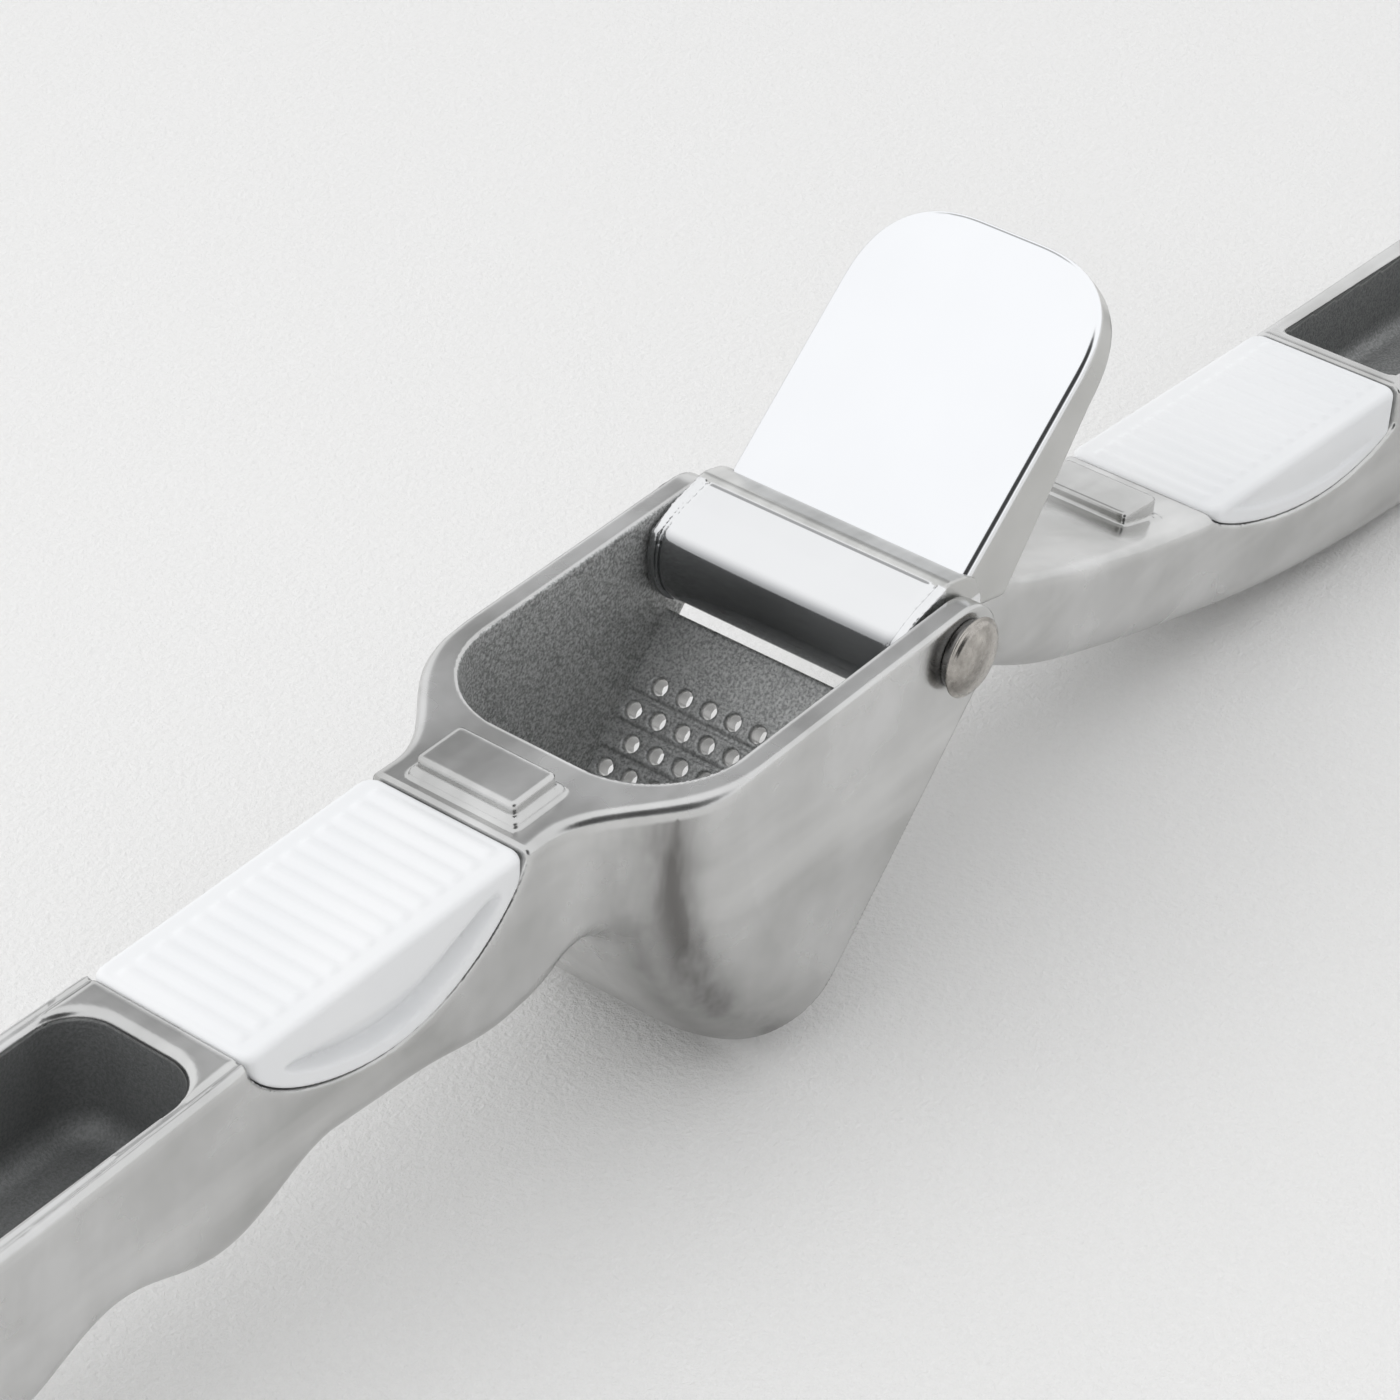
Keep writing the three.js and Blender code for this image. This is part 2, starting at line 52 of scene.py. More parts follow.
# ------------------------------------------------------------------ driving dimensions, mm
REST_TILT = math.radians(3.1)
CHEEK_OUT = 17.0
CHEEK_IN = 14.6
HOPPER_R_OUT = 42.1
HOPPER_R_IN = 39.3
CORNER_OUT = 10.6
CORNER_IN = 10.0
RIM_Z = 4.4
NOSE_R = 5.2

SIEVE_ANGLE = math.radians(224.8)
SIEVE_IN = 3.35
SIEVE_BACK = 5.95
SIEVE_TOP = 7.64
HOLE_R = 0.88
HOLE_PITCH = 2.914
HOLE_ROWS = 8
FIRST_ROW = 14.64
ROW_PITCH = 2.989

HANDLE_END = -158.0
FIRST_HOLLOW = -75.5
POCKET = {"from": -88.3, "to": -146.0, "half": 7.6, "corner": 4.4, "floor": -8.2}
HANDLE_TAB = {"x": -45.9, "height": 2.0}
LEVER_TAB = {"along": -10.2, "lift": 0.55, "height": 2.7, "tilt": math.radians(3.5)}
TAB = {"half": 5.5, "length": 5.9, "lip_half": 6.1, "lip_length": 7.0, "lip_height": 0.6}

INSERT_HANDLE = {"from": -50.9, "length": 34.5, "half": 8.9, "dish": 1.9}
INSERT_LEVER = {"from": 55.6, "length": 35.9, "half": 9.1, "dish": 0.5}
RIBS = 15
RIB_HEIGHT = 0.24
RIB_HALF = 6.9
HANDLE_D = ((0.0, -1.0), (2.2, -5.2), (9.0, -10.0), (16.5, -10.0), (23.0, -10.0), (32.5, -6.0), (34.5, -1.0))
LEVER_D = ((0.0, -0.8), (3.0, -3.2), (14.0, -7.15), (23.5, -7.15), (28.0, -7.15), (33.0, -6.2), (35.9, -4.5))

BARREL_R = 6.65
BARREL_HALF = 13.9
EAR_R = 6.9
EAR_HALF = 14.25
TILE_ANGLE = math.radians(38.8)
TILE_HALF = 13.7
TILE_REACH = 38.1
TILE_FRONT = 0.3

LEVER_SLOPE = math.radians(-4.6)
LEVER_TOP = (57.0, -18.1)
LEVER_END = 152.0
SLOT = {"from": 93.4, "to": 142.0, "half": 7.1, "corner": 1.2, "floor": 9.5}

SEAM = 0.06                       # half the dark seam round an insert
RIM_BAND = 1.5                    # the band left between an insert's flank dish and its edge
PIN_BORE = 2.4
HEAD_SEAT = 18.0
FAR_SEAT = 17.9
PIN_TIP = FAR_SEAT + 0.25


# ------------------------------------------------------------------ field algebra
def both(a, b, r):
    """Where a and b are both solid; the edge between them is rounded to radius r."""
    return np.minimum(-r, np.maximum(a, b)) + np.hypot(np.maximum(a + r, 0), np.maximum(b + r, 0))


def either(a, b, r):
    """a joined to b, with a fillet of radius r between them."""
    return np.maximum(r, np.minimum(a, b)) - np.hypot(np.maximum(r - a, 0), np.maximum(r - b, 0))


def without(a, b, r):
    """a with b cut out of it; the mouth of the cut is rounded to radius r."""
    return both(a, -b, r)


def rounded_rect(u, v, half_u, half_v, corner):
    qu = np.abs(u) - (half_u - corner)
    qv = np.abs(v) - (half_v - corner)
    return np.hypot(np.maximum(qu, 0), np.maximum(qv, 0)) + np.minimum(np.maximum(qu, qv), 0) - corner


def smooth(t):
    t = np.clip(t, 0, 1)
    return t * t * (3 - 2 * t)


def curve_through(points):
    """A smooth function through [x, value] points, continued straight at both ends."""
    xs = np.array([p[0] for p in points], float)
    vs = np.array([p[1] for p in points], float)
    slopes = np.gradient(vs, xs)

    def at(x):
        x = np.asarray(x, float)
        i = np.clip(np.searchsorted(xs, x) - 1, 0, len(xs) - 2)
        h = xs[i + 1] - xs[i]
        t = np.clip((x - xs[i]) / h, 0, 1)
        rest = x - np.clip(x, xs[0], xs[-1])
        value = (
            (2 * t**3 - 3 * t**2 + 1) * vs[i]
            + (t**3 - 2 * t**2 + t) * h * slopes[i]
            + (3 * t**2 - 2 * t**3) * vs[i + 1]
            + (t**3 - t**2) * h * slopes[i + 1]
        )
        return value + rest * np.where(rest < 0, slopes[0], slopes[-1])

    return at


def bezier_under(points):
    """An insert's underside as (x, z, slope) samples, from two joined cubic Bezier curves."""
    t = np.linspace(0, 1, 60)[:, None]
    p = np.array(points, float)
    curves = []
    for k in (0, 3):
        a, b, c, d = p[k : k + 4]
        curves.append((1 - t) ** 3 * a + 3 * (1 - t) ** 2 * t * b + 3 * (1 - t) * t**2 * c + t**3 * d)
    line = np.concatenate([curves[0], curves[1][1:]])
    slope = np.clip(np.gradient(line[:, 1], line[:, 0]), -3.5, 3.5)
    return line[:, 0], line[:, 1], slope


def above_under(u, w, under):
    """How far (u, w) lies above an insert's underside."""
    return (w - np.interp(u, under[0], under[1])) / np.hypot(1, np.interp(u, under[0], under[2]))


# ------------------------------------------------------------------ surface net
def surface_net(field, xs, ys, zs, relax=2):
    """Meshes field(x, y, z) < 0 on the given grid lines. Returns points and quads, in field space."""
    values = field(xs[:, None, None], ys[None, :, None], zs[None, None, :]).astype(np.float32)
    values = np.broadcast_to(values, (len(xs), len(ys), len(zs)))
    solid = values < 0
    cells = np.zeros(tuple(n - 1 for n in solid.shape), np.int8)
    corners = [(i, j, k) for i in (0, 1) for j in (0, 1) for k in (0, 1)]
    for i, j, k in corners:
        cells += solid[i : solid.shape[0] - 1 + i, j : solid.shape[1] - 1 + j, k : solid.shape[2] - 1 + k]
    mixed = (cells > 0) & (cells < 8)
    ci, cj, ck = np.nonzero(mixed)
    index = np.full(cells.shape, -1, np.int32)
    index[ci, cj, ck] = np.arange(len(ci))
    total = np.zeros((len(ci), 3))
    count = np.zeros(len(ci))
    lines = (xs, ys, zs)
    for axis in range(3):
        for c in corners:
            if c[axis]:
                continue
            a = [ci + c[0], cj + c[1], ck + c[2]]
            b = list(a)
            b[axis] = a[axis] + 1
            fa = values[a[0], a[1], a[2]].astype(float)
            fb = values[b[0], b[1], b[2]].astype(float)
            cross = (fa < 0) != (fb < 0)
            t = np.where(cross, fa / np.where(cross, fa - fb, 1), 0)
            for d in range(3):
                here = lines[d][a[d]]
                step = lines[d][b[d]] - here if d == axis else 0
                total[:, d] += np.where(cross, here + t * step, 0)
            count += cross
    points = total / count[:, None]
    quads = []
    for axis in range(3):
        u, v = (axis + 1) % 3, (axis + 2) % 3
        lo = [slice(0, n) for n in solid.shape]
        hi = list(lo)
        lo[axis] = slice(0, solid.shape[axis] - 1)
        hi[axis] = slice(1, solid.shape[axis])
        start, end = solid[tuple(lo)], solid[tuple(hi)]
        ei = np.array(np.nonzero(start != end))
        keep = (ei[u] > 0) & (ei[v] > 0) & (ei[u] < solid.shape[u] - 1) & (ei[v] < solid.shape[v] - 1)
        ei = ei[:, keep]
        ring = []
        for du, dv in ((-1, -1), (0, -1), (0, 0), (-1, 0)):
            e = ei.copy()
            e[u] += du
            e[v] += dv
            ring.append(index[e[0], e[1], e[2]])
        quad = np.stack(ring, 1)
        outward = start[ei[0], ei[1], ei[2]]
        quad[~outward] = quad[~outward][:, ::-1]
        quads.append(quad)
    quads = np.concatenate(quads)
    points = pull(field, points, 3)
    for _ in range(relax):
        points = pull(field, neighbour_mean(points, quads), 2)
    return points, quads


def pull(field, p, times):
    """Newton steps that carry the points onto the surface."""
    e = 0.01
    for _ in range(times):
        x, y, z = p[:, 0], p[:, 1], p[:, 2]
        f = field(x, y, z)
        g = np.stack(
            [
                field(x + e, y, z) - field(x - e, y, z),
                field(x, y + e, z) - field(x, y - e, z),
                field(x, y, z + e) - field(x, y, z - e),
            ],
            1,
        ) / (2 * e)
        size = np.maximum((g * g).sum(1), 0.05)
        step = (f / size)[:, None] * g
        length = np.maximum(np.linalg.norm(step, axis=1), 1e-9)
        p = p - step * np.minimum(1, 0.25 / length)[:, None]
    return p


def neighbour_mean(p, quads):
    """Each point halfway to the mean of the points beside it."""
    a = np.concatenate([quads[:, i] for i in (0, 1, 2, 3)])
    b = np.concatenate([quads[:, i] for i in (1, 2, 3, 0)])
    n = len(p)
    weight = np.bincount(a, minlength=n) + np.bincount(b, minlength=n)
    out = np.empty_like(p)
    for d in range(3):
        out[:, d] = np.bincount(a, p[b, d], minlength=n) + np.bincount(b, p[a, d], minlength=n)
    return 0.5 * p + 0.5 * out / np.maximum(weight, 1)[:, None]


def grid(*stops):
    """Grid lines from (value, step) stops: each step holds up to the next value."""
    parts = []
    for (a, step), (b, _) in zip(stops, stops[1:]):
        n = max(1, round((b - a) / step))
        parts.append(a + (b - a) * np.arange(n) / n)
    parts.append(np.array([stops[-1][0]]))
    return np.concatenate(parts)


def mirrored(half_lines):
    return np.concatenate([-half_lines[:0:-1], half_lines])


# ------------------------------------------------------------------ places
def to_part(p):
    """Press-frame millimetres to the part frame in metres."""
    c, s = math.cos(REST_TILT), math.sin(REST_TILT)
    out = np.empty_like(p)
    out[:, 0] = (p[:, 0] * c - p[:, 2] * s) / 1000 + HINGE[0]
    out[:, 1] = p[:, 1] / 1000 + HINGE[1]
    out[:, 2] = (p[:, 0] * s + p[:, 2] * c) / 1000 + HINGE[2]
    return out


def turned(p, angle, x=0.0, z=0.0):
    """Local points turned by angle in the XZ plane (X towards Z), then moved to (x, z)."""
    c, s = math.cos(angle), math.sin(angle)
    out = p.copy()
    out[:, 0] = p[:, 0] * c - p[:, 2] * s + x
    out[:, 2] = p[:, 0] * s + p[:, 2] * c + z
    return out


def local(x, z, angle, x0=0.0, z0=0.0):
    """The reverse of turned(), for coordinates."""
    c, s = math.cos(angle), math.sin(angle)
    return (x - x0) * c + (z - z0) * s, -(x - x0) * s + (z - z0) * c


def add_piece(name, points, quads, material, body, nodes, attributes=None):
    mesh = bpy.data.meshes.new(name)
    mesh.vertices.add(len(points))
    mesh.vertices.foreach_set("co", points.astype(np.float32).ravel())
    mesh.loops.add(quads.size)
    mesh.loops.foreach_set("vertex_index", quads.astype(np.int32).ravel())
    mesh.polygons.add(len(quads))
    mesh.polygons.foreach_set("loop_start", np.arange(0, quads.size, quads.shape[1], dtype=np.int32))
    mesh.polygons.foreach_set("use_smooth", np.ones(len(quads), bool))
    mesh.update(calc_edges=True)
    for key, values in (attributes or {}).items():
        layer = mesh.attributes.new(key, "FLOAT", "POINT")
        layer.data.foreach_set("value", values.astype(np.float32))
    mesh.materials.append(material)
    piece = bpy.data.objects.new(name, mesh)
    bpy.context.scene.collection.objects.link(piece)
    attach(piece, body)
    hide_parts(*nodes)
    return piece


# ------------------------------------------------------------------ hopper arm
def sieve_coordinates(x, z):
    c, s = math.cos(SIEVE_ANGLE), math.sin(SIEVE_ANGLE)
    return x * c + z * s, -x * s + z * c


NOSE_Z = RIM_Z - NOSE_R
NOSE_X = (SIEVE_BACK - NOSE_R - NOSE_Z * math.cos(SIEVE_ANGLE)) / -math.sin(SIEVE_ANGLE)


def wedge(x, z):
    """Between the rim plane and the sieve's back plane, with the round nose where they meet."""
    along, out = sieve_coordinates(x, z)
    planes = np.maximum(z - RIM_Z, out - SIEVE_BACK)
    beyond = (x > NOSE_X) & ((x - NOSE_X) * math.cos(SIEVE_ANGLE) + (z - NOSE_Z) * math.sin(SIEVE_ANGLE) < 0)
    return np.where(beyond, np.hypot(x - NOSE_X, z - NOSE_Z) - NOSE_R, planes)


handle_neck = curve_through(
    [[-75.5, -11.2], [-64, -12.4], [-53, -13.9], [-47.5, -12.7], [-43.5, -9.8], [-39.5, -7.6]]
)


def handle_under(x):
    wave = -11.2 - 3.5 * (1 - np.cos(2 * math.pi * (x - FIRST_HOLLOW) / 26)) / 2
    return np.where(x > FIRST_HOLLOW, handle_neck(x), wave)


def handle_half(x):
    return 8.8 + 0.8 * smooth((x + 60) / -55)


def tab(u, y, w, height):
    """A stop tab on a surface: u along the arm from its middle, w up from the surface."""
    block = both(rounded_rect(u, y, TAB["length"] / 2, TAB["half"], 0.55), w - height, 0.4)
    lip = both(rounded_rect(u, y, TAB["lip_length"] / 2, TAB["lip_half"], 0.6), w - TAB["lip_height"], 0.25)
    return either(np.maximum(block, -1 - w), np.maximum(lip, -1 - w), 0.12)


def insert_seat(u, y, w, spec, under):
    """The space an insert sits in: u away from the hinge, w up from the arm's top."""
    side = np.maximum(-SEAM - u, u - spec["length"] - SEAM)
    block = np.maximum(-SEAM - above_under(u, w, under), side)
    web = np.maximum(np.abs(y) - 4.6, w + 2.9)
    return np.maximum(block, -web)


def hopper_field(x, y, z):
    ay = np.abs(y)
    rho = np.hypot(x, z)
    disc = rounded_rect(rho, ay, HOPPER_R_OUT, CHEEK_OUT, CORNER_OUT)
    bar = both(ay - handle_half(x), handle_under(x) - z, 3.4)
    bar = both(bar, HANDLE_END + 0.2 - x, 7.5)
    bar = np.maximum(bar, x + 37)
    body = either(disc, bar, 6.5)
    edge = 0.3 + 0.8 * smooth((-28 - x) / 8) - 0.2 * smooth((-46 - x) / 6)
    body = both(body, wedge(x, z), edge)
    body = either(body, tab(x - HANDLE_TAB["x"], ay, z - RIM_Z, HANDLE_TAB["height"]), 0.15)
    cavity = rounded_rect(rho, ay, HOPPER_R_IN, CHEEK_IN, CORNER_IN)
    body = without(body, cavity, 0.3)
    middle = (POCKET["from"] + POCKET["to"]) / 2
    plan = rounded_rect(x - middle, ay, (POCKET["from"] - POCKET["to"]) / 2, POCKET["half"], POCKET["corner"])
    pocket = both(plan, POCKET["floor"] - z, 2.5)
    body = without(body, pocket, 0.8)
    seat = insert_seat(INSERT_HANDLE["from"] - x, y, z - RIM_Z, INSERT_HANDLE, HANDLE_UNDER)
    body = without(body, seat, 0.15)
    # the fine line that parts the handle's flat top from its side
    line = np.hypot(ay - (handle_half(x) - 1.0), z - RIM_Z - 0.08) - 0.36
    line = np.maximum(line, x + 85)
    body = without(body, line, 0.05)
    return without(body, np.hypot(x, z) - PIN_BORE, 0.2)


def sieve_field(along, y, out):
    """The perforated wall in its own frame: along it from the hinge, y, and out through it."""
    nearest = np.clip(np.round((along - FIRST_ROW) / ROW_PITCH), 0, HOLE_ROWS - 1)
    offset = along - (FIRST_ROW + nearest * ROW_PITCH)
    between = (along - FIRST_ROW) / ROW_PITCH - 0.5
    groove = np.abs(between - np.clip(np.round(between), 0, HOLE_ROWS - 2)) * ROW_PITCH
    step = (1 - np.cos(np.minimum(groove, 1.5) / 1.5 * math.pi)) / 2
    depth = 0.5 * np.maximum(0, 1 - groove / 0.42) + 0.1 * step
    depth = np.where((between > -0.8) & (between < HOLE_ROWS - 1.2), depth, 0.1)
    slab = np.maximum(SIEVE_IN + depth - out, out - SIEVE_BACK)
    end = np.hypot(along, out)
    slab = both(slab, SIEVE_TOP - along, 0.3)
    past = np.maximum(along - (HOPPER_R_IN - CORNER_IN), 0)
    reach = CHEEK_IN - CORNER_IN + np.sqrt(np.maximum(CORNER_IN**2 - past**2, 0))
    outline = rounded_rect(end, np.abs(y), HOPPER_R_OUT - 0.6, CHEEK_OUT - 0.6, CORNER_OUT - 0.6)
    slab = np.maximum(slab, outline)
    shift = np.where(nearest % 2 == 0, 0.0, 0.5)
    column = np.round(y / HOLE_PITCH - shift) + shift
    row_past = np.maximum(FIRST_ROW + nearest * ROW_PITCH - (HOPPER_R_IN - CORNER_IN), 0)
    row_reach = CHEEK_IN - CORNER_IN + np.sqrt(np.maximum(CORNER_IN**2 - row_past**2, 0))
    hole = np.hypot(offset, y - column * HOLE_PITCH) - HOLE_R
    hole = np.where(np.abs(column) * HOLE_PITCH + HOLE_R + 0.4 > row_reach, 1.0, hole)
    return without(slab, hole, 0.12)


# ------------------------------------------------------------------ lever arm
def lever_top_z(x):
    return LEVER_TOP[1] + math.tan(LEVER_SLOPE) * (x - LEVER_TOP[0])


lever_shoulder = curve_through([
    [1, -1], [8, 1.6], [11.5, -0.1], [16, -2.5], [21, -4.9], [31, -9.5], [41.5, -13.9], [46, -15.5],
    [50, -16.8], [54, lever_top_z(54) - 0.1], [60, lever_top_z(60)],
])
lever_belly = curve_through([
    [1, -6.3], [5.5, -7.6], [11, -10.9], [21, -16.9], [33, -22.7], [45, -27.8], [56, -31.7],
    [76, -36.8], [97, -39.9], [110, -40.8], [126, -40.4], [152, -37],
])


def lever_half(x):
    return 13.6 - 4.4 * smooth((x - 4) / 54) + 0.5 * smooth((x - 92) / 38)


def lever_field(x, y, z):
    ay = np.abs(y)
    top = np.where(x < 60, lever_shoulder(np.minimum(x, 60)), lever_top_z(x))
    steep = 0.46 * smooth((x - 2) / 10) * (1 - smooth((x - 42) / 12))
    upper = (z - top) / np.hypot(1, steep)
    lower = (lever_belly(x) - z) / np.hypot(1, 0.5 * (1 - smooth((x - 30) / 50)))
    side = ay - lever_half(x)
    body = both(both(side, lower, 4.2), upper, 1.3)
    body = both(body, x - LEVER_END, 7.5)
    body = np.maximum(body, 3.5 - x)
    u, w = local(x, z, LEVER_SLOPE, *LEVER_TOP)
    tu, tw = local(u, w, -LEVER_TAB["tilt"], LEVER_TAB["along"], LEVER_TAB["lift"])
    body = either(body, tab(tu, ay, tw, LEVER_TAB["height"]), 0.2)
    start, stop = SLOT["from"] - LEVER_TOP[0], SLOT["to"] - LEVER_TOP[0]
    plan = rounded_rect(u - (start + stop) / 2, ay, (stop - start) / 2, SLOT["half"], SLOT["corner"])
    body = without(body, both(plan, -SLOT["floor"] - w, 2.0), 0.35)
    lu, lw = local(x, z, LEVER_SLOPE, INSERT_LEVER["from"], float(lever_top_z(INSERT_LEVER["from"])))
    return without(body, insert_seat(lu, y, lw, INSERT_LEVER, LEVER_UNDER), 0.15)


# the barrel's flats from the tile's root over the strip, its step and the polished heel: (x, z)
STRIP = ((6.1, 3.6), (4.2, 4.9), (1.1, 5.75))
HEEL = ((0.75, 5.35), (-2.9, 4.45), (-5.0, 3.55))


def barrel_field(x, y, z):
    ay = np.abs(y)
    disc = np.hypot(x, z) - BARREL_R
    flats = None
    for (x0, z0), (x1, z1) in (*zip(STRIP, STRIP[1:]), *zip(HEEL, HEEL[1:])):
        length = math.hypot(x1 - x0, z1 - z0)
        nx, nz = -(z1 - z0) / length, (x1 - x0) / length
        if nx * x0 + nz * z0 < 0:
            nx, nz = -nx, -nz
        face = (x - x0) * nx + (z - z0) * nz
        flats = face if flats is None else both(flats, face, 0.12)
    heel = np.minimum(both(disc, flats, 0.45), np.where(np.hypot(x, z) < 3, -1.0, 99.0))
    heel = without(heel, np.hypot(x - 0.8, z - 5.66) - 0.38, 0.03)
    heel = np.where(x > 1.0, both(heel, ay - BARREL_HALF, 0.5), both(heel, ay - BARREL_HALF, 1.5))
    ear = both(np.hypot(x, z) - EAR_R, ay - EAR_HALF, 0.3)
    ear = np.maximum(ear, BARREL_HALF - 0.55 - ay)
    ear = np.where(z > 2.5, np.maximum(ear, flats), ear)
    body = np.minimum(heel, ear)
    return without(body, np.hypot(x, z) - PIN_BORE, 0.2)


def tile_field(x, y, z):
    """The piston tile in its own frame: x along it from the hinge, z out of its polished face."""
    ay = np.abs(y)
    # plan: straight sides, two large soft corners and a slightly bowed tip
    power = 2.6
    cu = np.maximum(x - (TILE_REACH - 11.0), 0) / 11.0
    cv = np.maximum(ay - (TILE_HALF - 11.0), 0) / 11.0
    corner = ((cu**power + cv**power) ** (1 / power) - 1) * 11.0
    plan = np.maximum(corner, ay - TILE_HALF)
    back = np.interp(x, [3, 8, 26.7, 40.1], [-2.0, -8.6, -5.0, -3.4]) - z
    slab = both(both(plan, z - TILE_FRONT, 0.9), back, 0.9)
    return np.maximum(slab, 2.6 - x)


# ------------------------------------------------------------------ inserts
def insert_field(spec, under):
    length = spec["length"]
    pitch = (length - 2) / RIBS

    def field(u, y, w):
        ay = np.abs(y)
        over = above_under(u, w, under)
        plan = rounded_rect(u - length / 2, ay, length / 2 - SEAM, spec["half"], 1.7)
        body = both(both(plan, w, 0.8), SEAM - over, 0.3)
        # a crescent dish in each flank, sharp along the rim below it and soft above
        share = np.clip((u - 0.1 * length) / (0.78 * length), 0, 1)
        width = 4.4 * np.sqrt(np.sin(math.pi * share**0.8)) + 1e-3
        rise = (over - RIM_BAND) / width
        fade = (1 - smooth(rise)) * np.minimum(1, width / 3)
        depth = spec["dish"] * smooth((over - RIM_BAND) / 0.35) * fade
        depth = depth * smooth(-w / 2.0)
        body = both(body, ay - spec["half"] + depth, 0.15)
        wave = 0.5 - 0.5 * np.cos(2 * math.pi * np.clip((u - 1) / pitch, 0, RIBS))
        lift = RIB_HEIGHT * wave**0.8 * (1 - smooth((ay - RIB_HALF + 0.6) / 0.8))
        body = body - lift * smooth((w + 1.0) / 0.8)
        return np.maximum(body, -np.maximum(ay - 4.9, w + 2.6))

    return field


HANDLE_UNDER = bezier_under(HANDLE_D)
LEVER_UNDER = bezier_under(LEVER_D)


# ------------------------------------------------------------------ materials
class Nodes:
    """A short way to write a shader tree."""

    def __init__(self, name):
        self.material = bpy.data.materials.new(name)
        self.material.use_nodes = True
        self.tree = self.material.node_tree
        self.tree.nodes.clear()
        self.output = self.tree.nodes.new("ShaderNodeOutputMaterial")
        self.shader = self.tree.nodes.new("ShaderNodeBsdfPrincipled")
        self.tree.links.new(self.shader.outputs[0], self.output.inputs["Surface"])
        self.coordinates = self.tree.nodes.new("ShaderNodeTexCoord").outputs["Object"]

    def link(self, a, b):
        self.tree.links.new(a, b)

    def noise(self, scale, detail=3.0, stretch=(1, 1, 1), rough=0.55, distortion=0.0):
        mapping = self.tree.nodes.new("ShaderNodeMapping")
        mapping.inputs["Scale"].default_value = stretch
        self.link(self.coordinates, mapping.inputs["Vector"])
        node = self.tree.nodes.new("ShaderNodeTexNoise")
        node.inputs["Scale"].default_value = scale
        node.inputs["Detail"].default_value = detail
        node.inputs["Roughness"].default_value = rough
        node.inputs["Distortion"].default_value = distortion
        self.link(mapping.outputs["Vector"], node.inputs["Vector"])
        return node.outputs["Fac"]

    def ramp(self, value, low, high, to_low=0.0, to_high=1.0):
        node = self.tree.nodes.new("ShaderNodeMapRange")
        node.inputs["From Min"].default_value = low
        node.inputs["From Max"].default_value = high
        node.inputs["To Min"].default_value = to_low
        node.inputs["To Max"].default_value = to_high
        self.link(value, node.inputs["Value"])
        return node.outputs["Result"]

    def math(self, kind, a, b):
        node = self.tree.nodes.new("ShaderNodeMath")
        node.operation = kind
        for socket, value in zip(node.inputs, (a, b)):
            if isinstance(value, (int, float)):
                socket.default_value = value
            else:
                self.link(value, socket)
        return node.outputs[0]

    def mix(self, factor, a, b):
        node = self.tree.nodes.new("ShaderNodeMix")
        node.data_type = "RGBA"
        for socket, value in ((node.inputs["Factor"], factor), (node.inputs[6], a), (node.inputs[7], b)):
            if isinstance(value, tuple):
                socket.default_value = (*value, 1.0)
            elif isinstance(value, (int, float)):
                socket.default_value = value
            else:
                self.link(value, socket)
        return node.outputs[2]

    def attribute(self, name):
        node = self.tree.nodes.new("ShaderNodeAttribute")
        node.attribute_name = name
        return node.outputs["Fac"]

    def bump(self, height, strength, distance, normal=None):
        node = self.tree.nodes.new("ShaderNodeBump")
        node.inputs["Strength"].default_value = strength
        node.inputs["Distance"].default_value = distance
        self.link(height, node.inputs["Height"])
        if normal is not None:
            self.link(normal, node.inputs["Normal"])
        return node.outputs["Normal"]

    def set(self, name, value):
        socket = self.shader.inputs[name]
        if isinstance(value, tuple):
            socket.default_value = (*value, 1.0)
        elif isinstance(value, (int, float)):
            socket.default_value = value
        else:
            self.link(value, socket)


def satin_alloy():
    """Tumbled cast alloy outside; sand-blasted and dark where the attribute blasted is 1. Painted shade
    darkens the blasted colour further in the handle's pocket, the lever's slot and on the sieve, and a
    painted reflection lays a dark streak down the hopper's outer corners.
    """
    n = Nodes("satin_cast_alloy")
    cloud = n.noise(55, 4, rough=0.6)
    streak = n.noise(160, 3, stretch=(0.12, 1.0, 1.0))
    grain = n.noise(3600, 2, rough=0.65)
    blasted = n.attribute("blasted")
    tone = n.mix(n.ramp(cloud, 0.35, 0.65), (0.49, 0.49, 0.48), (0.66, 0.66, 0.655))
    tone = n.mix(n.ramp(streak, 0.45, 0.7, 0, 0.5), tone, (0.78, 0.78, 0.77))
    dark = n.mix(n.ramp(grain, 0.35, 0.65), (0.30, 0.305, 0.30), (0.74, 0.745, 0.74))
    # painted shade: the attribute darkens the blasted colour towards near black in the pocket, the slot and
    # on the sieve, standing in for the shade in these recesses
    dark = n.mix(n.attribute("painted_shade_and_reflection"), dark, (0.16, 0.165, 0.165))
    # painted reflection: a dark streak down the hopper's outer corners, broken up by noise, standing in for
    # dark reflections
    painted_reflection_noise = n.noise(130, 4, stretch=(1.0, 1.0, 0.25), rough=0.65)
    painted_reflection = n.math("MULTIPLY", n.attribute("streak"), n.ramp(painted_reflection_noise, 0.38, 0.62, 0.3, 1.0))
    tone = n.mix(painted_reflection, tone, (0.13, 0.125, 0.12))
    tone = n.mix(blasted, tone, dark)
    n.set("Base Color", tone)
    n.set("Metallic", n.math("SUBTRACT", 1.0, n.math("MULTIPLY", blasted, 0.45)))
    satin = n.ramp(cloud, 0.3, 0.7, 0.18, 0.32)
    rough = n.math("ADD", satin, n.math("MULTIPLY", blasted, 0.3))
    n.set("Roughness", rough)
    depth = n.math("ADD", n.math("MULTIPLY", blasted, 1.0), 0.10)
    waves = n.bump(n.noise(260, 4, stretch=(1.0, 1.0, 0.35)), 0.14, 0.0002)
    n.set("Normal", n.bump(n.math("MULTIPLY", grain, depth), 0.55, 0.00012, waves))
    return n.material


